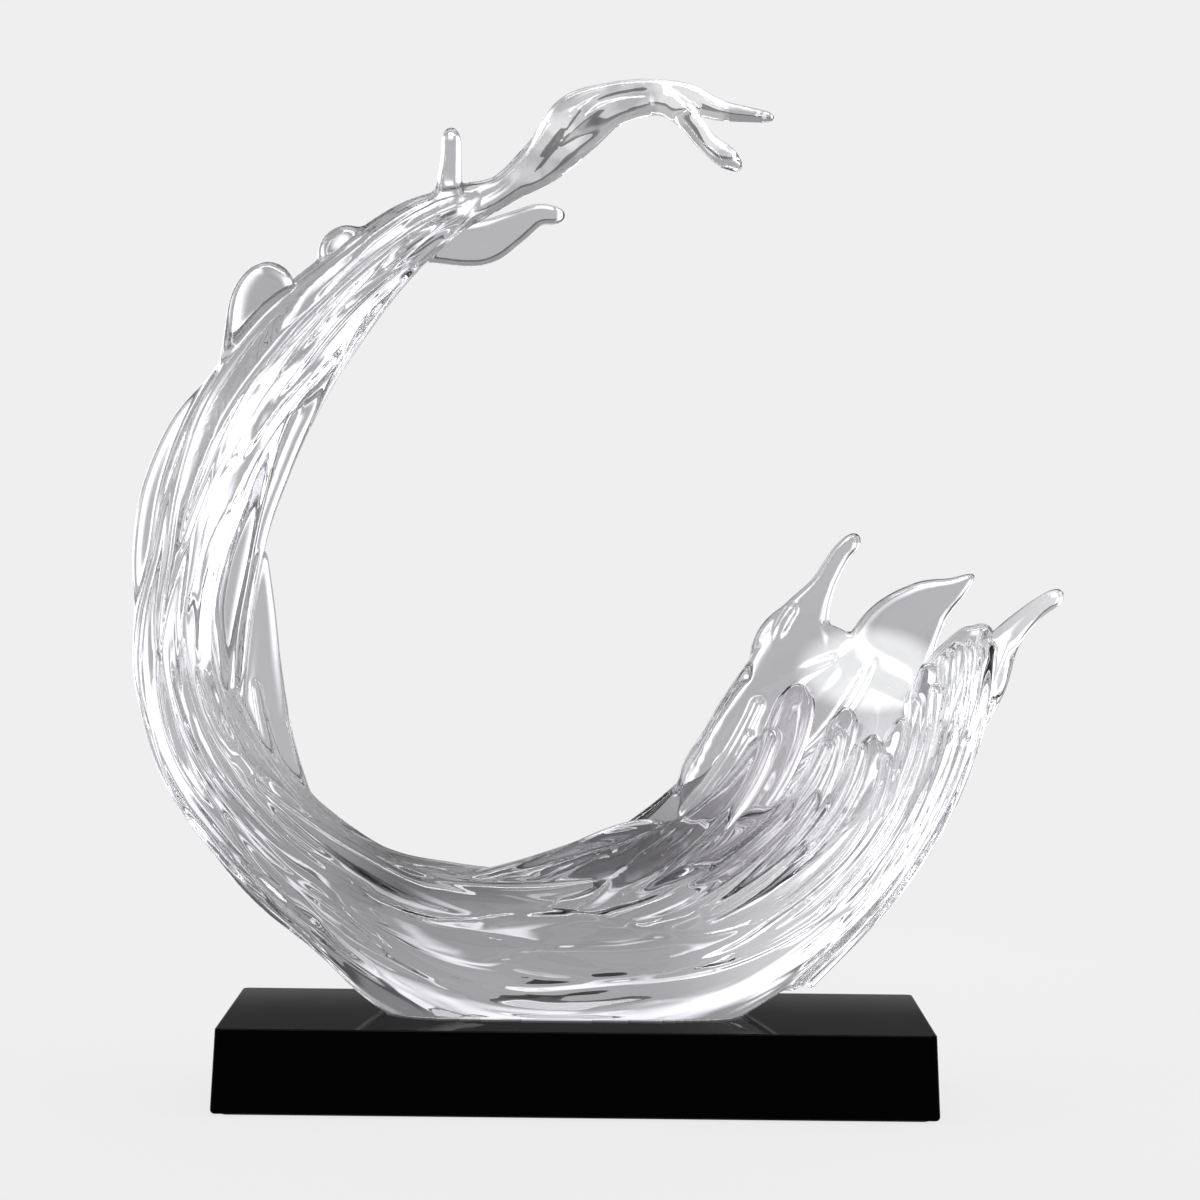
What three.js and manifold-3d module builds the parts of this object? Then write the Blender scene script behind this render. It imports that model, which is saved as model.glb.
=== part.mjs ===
// A breaking wave cast in clear resin, bolted from below to a black lacquered plinth.
// Millimetres, +Z up. The origin is the middle of the underside, and the wave's front faces -Y.
import * as THREE from "three";
import Module from "manifold-3d";

const wasm = await Module();
wasm.setup();

// Wave: the overall size of the casting above the plinth.
const WAVE_LENGTH = 460;
const WAVE_DEPTH = 76;
const WAVE_HEIGHT = 460;

// Plinth: a block whose four sides lean in a little towards the top.
const PLINTH_LENGTH = 350;
const PLINTH_DEPTH = 120;
const PLINTH_HEIGHT = 41;
const PLINTH_LEAN = 2;
const PLINTH_CORNER_RADIUS = 3;
const PLINTH_TOP_EDGE_RADIUS = 0.8;
const PLINTH_FOOT_EDGE_RADIUS = 2;
const PLINTH_LEAST_CORNER_RADIUS = 0.5;

// Pad glued under the plinth, which hides the bolt heads and saves the table.
const PAD_THICKNESS = 1;
const PAD_INSET = 5;
const PAD_CORNER_RADIUS = 3;

// Two pegs cast on the wave's foot go down through the plinth, so that no metal shows in the clear resin.
const PEG_SPACING = 90;
const PEG_MIDDLE_X = -8;
const PEG_DIAMETER = 18;
const PEG_CLEARANCE = 0.3;
const PEG_SETBACK = 0.5;

// A bolt and its washers pull each peg down, by a threaded insert in the peg's end.
const BOLT_DIAMETER = 6;
const BOLT_ENGAGEMENT = 10;
const HEAD_DIAMETER = 10;
const HEAD_HEIGHT = 6;
const KEY_WIDTH = 5;
const KEY_DEPTH = 3;
const WASHER_DIAMETER = 25;
const WASHER_THICKNESS = 1.5;
const SPRING_WASHER_DIAMETER = 11.8;
const SPRING_WASHER_THICKNESS = 1.6;
const SPRING_WASHER_SPLIT = 1.6;
const INSERT_WALL = 2;
const INSERT_ROOF = 2;
const INSERT_GROOVE_DEPTH = 0.6;
const INSERT_GROOVE_WIDTH = 1.5;
const BOLT_CLEARANCE = 0.3;
const SOCKET_CLEARANCE = 0.3;
const POCKET_CLEARANCE = 2.5;
const HEAD_RECESS = 1;
const BOLT_CHAMFER = 1;
const INSERT_GROOVE_PLACES = [0.35, 0.7];

// How far a cut reaches past the face that it opens.
const OVERCUT = 1;

// Places that follow from the sizes above.
const PLINTH_TOP = PAD_THICKNESS + PLINTH_HEIGHT;
const HEAD_BOTTOM = PAD_THICKNESS + HEAD_RECESS;
const HEAD_TOP = HEAD_BOTTOM + HEAD_HEIGHT;
const POCKET_ROOF = HEAD_TOP + SPRING_WASHER_THICKNESS + WASHER_THICKNESS;
const PEG_BOTTOM = POCKET_ROOF + PEG_SETBACK;
const PEG_RADIUS = PEG_DIAMETER / 2;
const BOLT_RADIUS = BOLT_DIAMETER / 2;
const INSERT_BORE_RADIUS = BOLT_RADIUS + BOLT_CLEARANCE;
const INSERT_RADIUS = INSERT_BORE_RADIUS + INSERT_WALL;
const INSERT_BORE_DEPTH = BOLT_ENGAGEMENT + BOLT_CLEARANCE;
const INSERT_LENGTH = INSERT_BORE_DEPTH + INSERT_ROOF;

// Facets of round and flowing forms.
const ROUND_SIDES = 24;
const CORNER_STEPS = 4;
const END_STEPS = 2;
const STREAM_STEP = 18;
const BUNDLE_STEP = 18;
const STRAND_SIDES = 5;
const LEAF_STEPS = 5;
const LEAF_END_STEPS = 1;
const LEAF_SIDES = 6;
const BUNDLE_SIDES = 36;
const WALL_SIDES = 10;
const SHEET_SIDES = 8;
const FINGER_SIDES = 8;

// The wave's streams of water, drawn on a grid. A station has the x, y and z of the stream's middle, its half
// width across the flow and its half depth from front to back. z is measured from the plinth's top.
const GRID_COLUMNS = 460;
const GRID_LAYERS = 76;
const GRID_ROWS = 460;
const CRESCENT = [
  [208, 0, 186, 5, 6],
  [194, 0, 162, 9, 12],
  [178, 0, 127, 13, 18],
  [153, 0, 90, 17, 23],
  [114, 0, 56, 24, 27],
  [66, 0, 30, 34, 30],
  [11, 0, 22, 42, 31],
  [-39, 0, 24, 44, 31],
  [-82, 0, 37, 38, 30],
  [-117, 0, 58, 28, 28],
  [-151, 0, 85, 25, 27],
  [-181, 0, 121, 24, 25],
  [-196, 0, 158, 21, 24],
  [-199, 0, 190, 19, 24],
  [-194, 0, 222, 17, 23],
  [-187, 0, 252, 19, 22],
  [-176, 0, 282, 20, 21],
  [-161, 1, 307, 21, 19],
  [-140, 2, 333, 22, 18],
  [-110, 2, 364, 17, 15],
  [-83, 0, 386, 14, 12],
  [-57, -2, 399, 9, 9],
];
const CREST_ARM = [
  [-72, 0, 395, 9, 8],
  [-57, -2, 399, 9, 9],
  [-40, -4, 406, 7, 9],
  [-20, -6, 421, 11, 9],
  [-4, -6, 439, 14, 9],
  [15, -6, 449, 10, 8],
  [36, -8, 452, 8.5, 8],
  [51, -8, 451, 7, 7],
  [65, -6, 446, 5, 5],
  [80, -4, 444, 3.5, 3.5],
  [90, -2, 443, 2.5, 2.5],
];
const CREST_DRIP = [
  [36, -8, 451, 6.5, 7],
  [49, -12, 441, 5.5, 6],
  [58, -16, 430, 5, 5],
  [67, -20, 422, 5.5, 5.5],
  [72, -22, 418, 4.5, 4.5],
];
const CREST_LEAF = [
  [-94, 8, 380, 7, 6],
  [-73, 10, 380, 9.5, 5],
  [-52, 12, 381, 11, 5],
  [-37, 12, 388, 8.5, 5],
  [-24, 11, 395, 5.5, 5],
  [-14, 10, 395, 4.5, 4.5],
];
const CREST_SPOUT = [
  [-68, -4, 394, 9, 8],
  [-67, -5, 408, 6.5, 6],
  [-66, -6, 421, 5, 5],
  [-66, -6, 431, 5, 5],
];
const SHOULDER_LOBE = [
  [-166, -4, 305, 15, 9],
  [-160, -7, 329, 15, 7],
  [-155, -9, 350, 13, 5],
  [-147, -9, 361, 8, 5],
];
const SHOULDER_KNOB = [
  [-104, 8, 366, 10, 8],
  [-116, 9, 377, 12, 7],
  [-120, 9, 381, 11, 6],
];
const OUTER_FIN = [
  [-184, 3, 309, 4, 5],
  [-197, 3, 287, 8, 5],
  [-207, 3, 257, 11, 5],
  [-213, 3, 227, 9.5, 5],
  [-215, 3, 197, 6.5, 5],
  [-217, 3, 162, 3, 4],
];
const COLUMN_LEAF = [
  [-147, -6, 296, 2.5, 5],
  [-157, -6, 274, 5, 6],
  [-166, -6, 244, 7.5, 6],
  [-172, -6, 215, 8, 6],
  [-175, -6, 188, 6, 6],
  [-174, -6, 159, 3, 5],
];
const COLUMN_EDGE = [
  [-116, -2, 331, 4, 7],
  [-130, -2, 307, 5, 7],
  [-141, -2, 286, 5, 7],
  [-150, -2, 263, 4.5, 6],
  [-158, -2, 239, 4, 6],
  [-164, -2, 208, 3, 6],
  [-168, -2, 176, 3, 6],
  [-170, -2, 142, 2.5, 5],
];
const INNER_FIN = [
  [-159, 6, 225, 3, 4],
  [-159, 6, 198, 7, 4],
  [-159, 6, 168, 10.5, 4],
  [-156, 6, 138, 12.5, 4],
  [-148, 6, 113, 11.5, 4],
  [-135, 6, 92, 8, 5],
  [-117, 6, 77, 5, 6],
];
const FIN_LEAF = [
  [-161, 1, 161, 1.5, 3],
  [-157, 1, 141, 2.5, 4],
  [-151, 1, 121, 3.5, 5],
  [-141, 1, 104, 3, 5],
  [-130, 1, 91, 2, 4],
];
const FRONT_WALL = [
  [-18, -13, 40, 16, 9],
  [31, -15, 53, 27, 8],
  [74, -17, 76, 24, 6],
  [104, -18, 96, 11, 5],
  [122, -18, 108, 4, 4],
];
const FRONT_LIP = [
  [-53, -12, 66, 4, 8],
  [-24, -12, 70, 8, 7],
  [3, -12, 76, 11, 6],
  [28, -12, 81, 14, 6],
  [46, -12, 85, 12, 6],
  [60, -12, 91, 6, 5],
];
const BACK_WALL = [
  [-17, 14, 43, 25, 10],
  [31, 18, 55, 32, 9],
  [77, 22, 83, 40, 8],
  [111, 25, 126, 49, 7],
  [136, 28, 158, 50, 6],
  [147, 30, 177, 43, 5],
];
const WALL_FINGER = [
  [111, 27, 159, 22, 6],
  [107, 30, 179, 21, 5],
  [114, 32, 197, 12.5, 5],
  [122, 32, 212, 6.5, 5],
  [130, 31, 227, 5, 4.5],
  [137, 30, 235, 4.5, 4],
];
const WALL_WING = [
  [151, 28, 165, 25, 6],
  [161, 30, 187, 21, 5],
  [174, 30, 202, 14, 5],
  [188, 28, 211, 6.5, 4],
  [196, 27, 217, 2.5, 2.5],
];
const WALL_LOBE = [
  [56, 20, 95, 7, 6],
  [62, 24, 116, 11.5, 5],
  [76, 27, 136, 11.5, 5],
  [93, 28, 156, 12, 5],
];
const RIM_FINGER = [
  [198, 0, 166, 12, 9],
  [209, -2, 186, 7.5, 7],
  [223, -4, 201, 5, 5],
  [234, -6, 209, 4.5, 4.5],
];
const RIM_BUMP = [
  [174, 16, 146, 15, 8],
  [183, 15, 166, 14, 7],
  [194, 12, 183, 10, 6],
  [200, 11, 189, 7, 6],
];

// Leaves and strands that follow the flow and end in round tips: the x and z of the root, of the bend and of
// the tip, the half width, and the y of the root and of the tip.
const FRONT_LEAVES = [
  [-16, 65, 67, 84, 90, 139, 7, -17, -23],
  [4, 55, 91, 84, 107, 164, 12, -18, -27],
  [21, 44, 116, 87, 130, 153, 9, -20, -29],
  [36, 37, 132, 88, 143, 140, 8, -22, -32],
  [55, 28, 152, 87, 157, 148, 9, -21, -29],
  [68, 22, 169, 85, 169, 175, 9, -20, -30],
  [83, 17, 182, 85, 184, 185, 8, -18, -24],
  [105, 16, 195, 89, 198, 192, 6.5, -14, -16],
];
const FRONT_STRANDS = [
  [6, 53, 79, 84, 93, 141, 3, -21, -31],
  [16, 49, 103, 85, 120, 137, 3, -23, -33],
  [31, 39, 120, 85, 126, 142, 3, -23, -34],
  [38, 36, 131, 83, 137, 136, 3, -25, -36],
  [55, 29, 147, 78, 149, 130, 3, -25, -36],
  [63, 25, 159, 81, 162, 159, 3, -23, -34],
  [77, 20, 169, 83, 172, 164, 2.6, -23, -34],
  [82, 17, 176, 85, 176, 179, 2.6, -21, -31],
  [95, 17, 181, 90, 180, 183, 2.4, -19, -29],
  [100, 17, 188, 90, 190, 187, 2.6, -17, -25],
  [110, 17, 191, 94, 194, 183, 2.4, -15, -21],
  [115, 16, 197, 94, 202, 185, 2.8, -12, -15],
];
const TROUGH_LEAVES = [
  [-160, 117, -92, 58, -31, 50, 5, -27, -29],
  [-118, 79, -62, 51, -10, 58, 6, -27, -28],
  [-78, 68, -25, 56, 14, 69, 5, -26, -26],
  [-134, 75, -62, 22, -21, 38, 8, -27, -29],
  [-148, 82, -92, 14, -1, 27, 8, -26, -29],
  [79, 41, 21, 15, -39, 20, 7, -27, -29],
  [79, 60, 35, 40, -2, 41, 5, -26, -29],
  [79, 77, 40, 52, 1, 48, 5, -26, -28],
];

// How square a stream's section is: 2 is an ellipse, and higher has flat faces and round edges.
const BUNDLE_SQUARENESS = 3;
const SHEET_SQUARENESS = 3.2;
const FINGER_SQUARENESS = 2.2;

// Strands that ride on the crescent, laid out by the golden ratio so that none line up. Lengths are shares of
// the crescent's length.
const STRANDS = 24;
const STRAND_HALF_WIDTH = 10;
const STRAND_HEIGHT = 5.5;
const STRAND_SINK = 2.5;
const STRAND_SHORTEST = 0.2;
const STRAND_EXTRA_LENGTH = 0.2;
const STRAND_DRIFT = 1;
const STRAND_TAPER = 0.6;
// A stream with less half width or depth than this has smaller strands.
const STRAND_ROOM_WIDTH = 20;
const GOLDEN_RATIO = 0.618034;
// Below this height the strands fade to their least share, so that the foot is plain.
const CALM_HEIGHT = 32;
const CALM_LEAST_SHARE = 0.2;

// The half width of a leaf, ripple or strand at places from root to tip, as a share of its widest, and the
// half depth of all three.
const LEAF_WIDTHS = [0.5, 0.9, 1, 1, 0.97, 0.8, 0.4];
const RIPPLE_WIDTHS = [0.2, 0.8, 1, 0.95, 0.75, 0.4, 0.1];
const STRAND_WIDTHS = [0.6, 0.85, 1, 1, 0.95, 0.9, 1];
const LEAF_DEPTH = 5;
// How soon a leaf sweeps out to its tip's y: below 1 is sooner.
const TIP_SWEEP = 0.7;
// How much closer a leaf's places stand toward its tip, so that the tip is round.
const TIP_CROWDING = 1.6;

// Solids

// A closed body through a row of rings that each have the same number of points.
function skin(rings) {
  const count = rings[0].length;
  const points = rings.flat();
  const middleOf = (ring) =>
    ring.reduce((sum, p) => sum.add(p), new THREE.Vector3()).divideScalar(count);
  const start = points.push(middleOf(rings[0])) - 1;
  const end = points.push(middleOf(rings.at(-1))) - 1;
  const lastRing = (rings.length - 1) * count;
  const faces = [];
  for (let i = 0; i < count; i++) {
    const next = (i + 1) % count;
    faces.push(start, next, i);
    for (let row = 0; row < lastRing; row += count) {
      faces.push(row + i, row + next, row + next + count);
      faces.push(row + i, row + next + count, row + i + count);
    }
    faces.push(end, lastRing + i, lastRing + next);
  }
  return new THREE.BufferGeometry().setFromPoints(points).setIndex(faces);
}

function toSolid(geometry) {
  const bare = geometry.index ? geometry : weld(geometry);
  return new wasm.Manifold(
    new wasm.Mesh({
      numProp: 3,
      vertProperties: new Float32Array(bare.attributes.position.array),
      triVerts: new Uint32Array(bare.index.array),
    }),
  );
}

// One vertex for each place, which a closed body needs along the seams of a turned or extruded form.
function weld(geometry) {
  const bare = geometry.index ? geometry.toNonIndexed() : geometry;
  const position = bare.attributes.position;
  const seen = new Map();
  const points = [];
  const order = [];
  for (let i = 0; i < position.count; i++) {
    const point = new THREE.Vector3().fromBufferAttribute(position, i);
    const key = point.toArray().map((value) => Math.round(value * 1e4)).join();
    if (!seen.has(key)) seen.set(key, points.push(point) - 1);
    order.push(seen.get(key));
  }
  const faces = [];
  for (let i = 0; i < order.length; i += 3) {
    const [a, b, c] = order.slice(i, i + 3);
    if (a !== b && b !== c && c !== a) faces.push(a, b, c);
  }
  return new THREE.BufferGeometry().setFromPoints(points).setIndex(faces);
}

function toGeometry(solid) {
  const mesh = solid.getMesh();
  const geometry = new THREE.BufferGeometry();
  geometry.setAttribute("position", new THREE.BufferAttribute(mesh.vertProperties, 3));
  geometry.setIndex(new THREE.BufferAttribute(mesh.triVerts, 1));
  geometry.computeVertexNormals();
  return geometry;
}

// A body turned about +Z from a closed outline of radius and height pairs.
function turned(outline) {
  const points = [...outline, outline[0]].map(([radius, z]) => new THREE.Vector2(radius, z));
  return toSolid(weld(new THREE.LatheGeometry(points, ROUND_SIDES).rotateX(Math.PI / 2)));
}

function rod(radius, bottom, top) {
  return turned([
    [0, bottom],
    [radius, bottom],
    [radius, top],
    [0, top],
  ]);
}

function block(length, depth, height) {
  return toSolid(weld(new THREE.BoxGeometry(length, depth, height)));
}

// A ring of points around a rectangle with round corners, at one height.
function roundedRectangle(length, depth, radius, z) {
  const points = [];
  for (let corner = 0; corner < 4; corner++) {
    const sideX = corner === 0 || corner === 3 ? 1 : -1;
    const sideY = corner < 2 ? 1 : -1;
    for (let step = 0; step <= CORNER_STEPS; step++) {
      const angle = ((corner + step / CORNER_STEPS) * Math.PI) / 2;
      points.push(
        new THREE.Vector3(
          sideX * (length / 2 - radius) + radius * Math.cos(angle),
          sideY * (depth / 2 - radius) + radius * Math.sin(angle),
          z,
        ),
      );
    }
  }
  return points;
}

// Streams of water

// Millimetres to a grid unit along x, y and z, and across the flow.
const UNIT_X = WAVE_LENGTH / GRID_COLUMNS;
const UNIT_Y = WAVE_DEPTH / GRID_LAYERS;
const UNIT_Z = WAVE_HEIGHT / GRID_ROWS;
const UNIT_ACROSS = Math.sqrt(UNIT_X * UNIT_Z);

const UNITS = [UNIT_X, UNIT_Y, UNIT_Z, UNIT_ACROSS, UNIT_Y];
const drawn = (stations) => stations.map((station) => station.map((value, i) => value * UNITS[i]));

class Stream {
  constructor(stations, squareness) {
    this.squareness = squareness;
    this.spine = new THREE.CatmullRomCurve3(stations.map(([x, y, z]) => new THREE.Vector3(x, y, z)));
    const sizes = stations.map(([, , , width, depth]) => new THREE.Vector3(width, depth, 0));
    this.sizes = new THREE.CatmullRomCurve3(sizes, false, "catmullrom");
    this.length = this.spine.getLength();
  }

  // The section's middle and axes at a share of the length: across is in the wave's plane, and forward
  // points to the front.
  frame(share) {
    const knot = this.spine.getUtoTmapping(share);
    const flow = this.spine.getTangent(knot);
    const across = new THREE.Vector3().crossVectors(flow, new THREE.Vector3(0, 1, 0)).normalize();
    const forward = new THREE.Vector3().crossVectors(flow, across);
    const size = this.sizes.getPoint(knot);
    return { middle: this.spine.getPoint(knot), flow, across, forward, width: size.x, depth: size.y };
  }

  // The section's outline at a share of the length, with its size times scale, moved along the flow.
  ring(share, sides, scale = 1, along = 0) {
    const { middle, flow, across, forward, width, depth } = this.frame(share);
    const rounded = (value) => Math.sign(value) * Math.abs(value) ** (2 / this.squareness);
    const steep = (value) => Math.sign(value) * Math.abs(value) ** (this.squareness - 1);
    return Array.from({ length: sides }, (_, i) => {
      const angle = (i / sides) * 2 * Math.PI;
      const p = rounded(Math.cos(angle));
      const q = rounded(Math.sin(angle));
      const outward = new THREE.Vector3()
        .addScaledVector(across, steep(p) / width)
        .addScaledVector(forward, steep(q) / depth)
        .normalize();
      return middle
        .clone()
        .addScaledVector(across, width * scale * p)
        .addScaledVector(forward, depth * scale * q)
        .addScaledVector(flow, along)
        .addScaledVector(outward, scale * this.relief(share, Math.atan2(q, p), middle.z, width, depth));
    });
  }

  // A plain stream has no relief.
  relief() {
    return 0;
  }

  // Shares of the length at even steps.
  evenShares(spacing) {
    const steps = Math.max(4, Math.round(this.length / spacing));
    return Array.from({ length: steps + 1 }, (_, step) => step / steps);
  }

  // The stream as a body with round ends.
  solid(sides, shares = this.evenShares(STREAM_STEP), endSteps = END_STEPS) {
    const rings = shares.map((share) => this.ring(share, sides));
    for (let step = 1; step <= endSteps; step++) {
      const angle = (step / (endSteps + 0.5)) * (Math.PI / 2);
      for (const share of [0, 1]) {
        const { width, depth } = this.frame(share);
        const reach = Math.min(width, depth) * Math.sin(angle) * (share ? 1 : -1);
        const ring = this.ring(share, sides, Math.cos(angle), reach);
        if (share) rings.push(ring);
        else rings.unshift(ring);
      }
    }
    return toSolid(skin(rings));
  }
}

// A stream with strands on its surface, each of its own length and at its own place around it.
class Bundle extends Stream {
  strands = Array.from({ length: STRANDS }, (_, index) => {
    const share = (times) => ((index + 1) * times * GOLDEN_RATIO) % 1;
    const length = STRAND_SHORTEST + STRAND_EXTRA_LENGTH * share(3);
    return {
      length,
      start: ((1 - length) * (index + 0.5)) / STRANDS,
      angle: 2 * Math.PI * share(1),
      drift: STRAND_DRIFT * (share(5) - 0.5),
    };
  });

  // The height of the strands over the plain section.
  relief(share, angle, height, width, depth) {
    const room = Math.min(1, Math.min(width, depth) / STRAND_ROOM_WIDTH);
    let highest = 0;
    for (const { length, start, angle: first, drift } of this.strands) {
      const part = (share - start) / length;
      if (part <= 0 || part >= 1) continue;
      const centre = first + drift * part;
      const reach = Math.hypot(width * Math.sin(centre), depth * Math.cos(centre));
      const swell = room * Math.sin(Math.PI * part) ** STRAND_TAPER;
      const away = THREE.MathUtils.euclideanModulo(angle - centre + Math.PI, 2 * Math.PI) - Math.PI;
      const spread = (away * reach) / (STRAND_HALF_WIDTH * swell);
      highest = Math.max(highest, STRAND_HEIGHT * swell * (1 - spread ** 2));
    }
    return (highest - STRAND_SINK * room) * THREE.MathUtils.clamp(height / CALM_HEIGHT, CALM_LEAST_SHARE, 1);
  }
}

const crowded = (share) => 1 - (1 - share) ** TIP_CROWDING;

// A slim stream that bends like a bow from its root to its tip.
function leaf([rootX, rootZ, bendX, bendZ, tipX, tipZ, halfWidth, rootY, tipY], widths, sides) {
  const bow = new THREE.QuadraticBezierCurve(
    new THREE.Vector2(rootX * UNIT_X, rootZ * UNIT_Z),
    new THREE.Vector2(bendX * UNIT_X, bendZ * UNIT_Z),
    new THREE.Vector2(tipX * UNIT_X, tipZ * UNIT_Z),
  );
  const stations = widths.map((swell, i) => {
    const share = crowded(i / (widths.length - 1));
    const place = bow.getPoint(share);
    const y = THREE.MathUtils.lerp(rootY, tipY, share ** TIP_SWEEP) * UNIT_Y;
    return [place.x, y, place.y, halfWidth * UNIT_ACROSS * swell, LEAF_DEPTH * swell];
  });
  const shares = Array.from({ length: LEAF_STEPS + 1 }, (_, step) => crowded(step / LEAF_STEPS));
  return new Stream(stations, FINGER_SQUARENESS).solid(sides, shares, LEAF_END_STEPS);
}

const joined = (solids) => solids.reduce((whole, solid) => whole.add(solid));

// Fills pockets that overlapping streams close in.
const larger = (a, b) => (b.volume() > a.volume() ? b : a);
const filled = (solid) => solid.decompose().reduce(larger);

// Pieces

const pegPlaces = [
  ["left", PEG_MIDDLE_X - PEG_SPACING / 2],
  ["right", PEG_MIDDLE_X + PEG_SPACING / 2],
];

function waveCasting() {
  const crescent = new Bundle(drawn(CRESCENT), BUNDLE_SQUARENESS);
  const backWall = new Stream(drawn(BACK_WALL), SHEET_SQUARENESS);
  const fins = [OUTER_FIN, COLUMN_LEAF, COLUMN_EDGE, INNER_FIN, FIN_LEAF];
  const sheets = [CREST_LEAF, SHOULDER_LOBE, ...fins, FRONT_WALL, FRONT_LIP, WALL_FINGER, WALL_WING, WALL_LOBE];
  const fingers = [CREST_ARM, CREST_DRIP, CREST_SPOUT, SHOULDER_KNOB, RIM_FINGER, RIM_BUMP];
  const water = joined([
    crescent.solid(BUNDLE_SIDES, crescent.evenShares(BUNDLE_STEP)),
    backWall.solid(WALL_SIDES),
    ...TROUGH_LEAVES.map((row) => leaf(row, RIPPLE_WIDTHS, LEAF_SIDES)),
    ...FRONT_LEAVES.map((row) => leaf(row, LEAF_WIDTHS, LEAF_SIDES)),
    ...FRONT_STRANDS.map((row) => leaf(row, STRAND_WIDTHS, STRAND_SIDES)),
    ...sheets.map((stations) => new Stream(drawn(stations), SHEET_SQUARENESS).solid(SHEET_SIDES)),
    ...fingers.map((stations) => new Stream(drawn(stations), FINGER_SQUARENESS).solid(FINGER_SIDES)),
  ]);
  // The foot is cut flat where it stands on the plinth. Each peg reaches up into it, and holds an insert.
  const below = block(PLINTH_LENGTH * 2, PLINTH_DEPTH * 2, PLINTH_HEIGHT * 2).translate(0, 0, -PLINTH_HEIGHT);
  const pegEnd = PEG_BOTTOM - PLINTH_TOP;
  const socketTop = pegEnd + INSERT_LENGTH + SOCKET_CLEARANCE;
  const pegs = pegPlaces.map(([, x]) =>
    rod(PEG_RADIUS, pegEnd, PEG_RADIUS)
      .subtract(rod(INSERT_RADIUS + SOCKET_CLEARANCE, pegEnd - OVERCUT, socketTop))
      .translate(x, 0, 0),
  );
  return toGeometry(filled(water.subtract(below).add(joined(pegs))));
}

function plinth() {
  const rings = [];
  const ringAt = (height, inset) => {
    const lean = (PLINTH_LEAN * height) / PLINTH_HEIGHT + inset;
    const radius = Math.max(PLINTH_CORNER_RADIUS - inset, PLINTH_LEAST_CORNER_RADIUS);
    const length = PLINTH_LENGTH - 2 * lean;
    const depth = PLINTH_DEPTH - 2 * lean;
    rings.push(roundedRectangle(length, depth, radius, PAD_THICKNESS + height));
  };
  for (let step = 0; step <= CORNER_STEPS; step++) {
    const angle = ((step / CORNER_STEPS) * Math.PI) / 2;
    ringAt(PLINTH_FOOT_EDGE_RADIUS * (1 - Math.cos(angle)), PLINTH_FOOT_EDGE_RADIUS * (1 - Math.sin(angle)));
  }
  for (let step = 0; step <= CORNER_STEPS; step++) {
    const angle = ((step / CORNER_STEPS) * Math.PI) / 2;
    const down = PLINTH_TOP_EDGE_RADIUS * (1 - Math.sin(angle));
    ringAt(PLINTH_HEIGHT - down, PLINTH_TOP_EDGE_RADIUS * (1 - Math.cos(angle)));
  }
  const pocketRadius = WASHER_DIAMETER / 2 + POCKET_CLEARANCE;
  const holes = pegPlaces.map(([, x]) =>
    rod(pocketRadius, 0, POCKET_ROOF)
      .add(rod(PEG_RADIUS + PEG_CLEARANCE, 0, PLINTH_TOP + OVERCUT))
      .translate(x, 0, 0),
  );
  return toGeometry(toSolid(skin(rings)).subtract(joined(holes)));
}

function basePad() {
  const length = PLINTH_LENGTH - 2 * PAD_INSET;
  const depth = PLINTH_DEPTH - 2 * PAD_INSET;
  return skin([0, PAD_THICKNESS].map((z) => roundedRectangle(length, depth, PAD_CORNER_RADIUS, z)));
}

// A socket-head bolt that reaches up into the insert.
function bolt() {
  const tip = PEG_BOTTOM + BOLT_ENGAGEMENT;
  const body = turned([
    [0, HEAD_BOTTOM],
    [HEAD_DIAMETER / 2, HEAD_BOTTOM],
    [HEAD_DIAMETER / 2, HEAD_TOP],
    [BOLT_RADIUS, HEAD_TOP],
    [BOLT_RADIUS, tip - BOLT_CHAMFER],
    [BOLT_RADIUS - BOLT_CHAMFER, tip],
    [0, tip],
  ]);
  const keyRadius = KEY_WIDTH / Math.sqrt(3);
  const key = new THREE.CylinderGeometry(keyRadius, keyRadius, 2 * KEY_DEPTH, 6).rotateX(Math.PI / 2);
  return toGeometry(body.subtract(toSolid(weld(key)).translate(0, 0, HEAD_BOTTOM)));
}

function washerRing(diameter, bottom, thickness) {
  const hole = BOLT_RADIUS + BOLT_CLEARANCE;
  return turned([
    [hole, bottom],
    [diameter / 2, bottom],
    [diameter / 2, bottom + thickness],
    [hole, bottom + thickness],
  ]);
}

function springWasher() {
  const ring = washerRing(SPRING_WASHER_DIAMETER, HEAD_TOP, SPRING_WASHER_THICKNESS);
  const split = block(SPRING_WASHER_DIAMETER, SPRING_WASHER_SPLIT, 2 * SPRING_WASHER_THICKNESS);
  const middle = HEAD_TOP + SPRING_WASHER_THICKNESS / 2;
  return toGeometry(ring.subtract(split.translate(SPRING_WASHER_DIAMETER / 2, 0, middle)));
}

function flatWasher() {
  return toGeometry(washerRing(WASHER_DIAMETER, HEAD_TOP + SPRING_WASHER_THICKNESS, WASHER_THICKNESS));
}

// A blind threaded insert, with two grooves that the resin grips.
function pegInsert() {
  const groove = INSERT_RADIUS - INSERT_GROOVE_DEPTH;
  const outline = [[INSERT_BORE_RADIUS, 0], [INSERT_RADIUS, 0]];
  for (const share of INSERT_GROOVE_PLACES) {
    const low = INSERT_LENGTH * share - INSERT_GROOVE_WIDTH / 2;
    const high = low + INSERT_GROOVE_WIDTH;
    outline.push([INSERT_RADIUS, low], [groove, low], [groove, high], [INSERT_RADIUS, high]);
  }
  outline.push([INSERT_RADIUS, INSERT_LENGTH], [0, INSERT_LENGTH]);
  outline.push([0, INSERT_BORE_DEPTH], [INSERT_BORE_RADIUS, INSERT_BORE_DEPTH]);
  return toGeometry(turned(outline).translate(0, 0, PEG_BOTTOM));
}

// Materials

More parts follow.
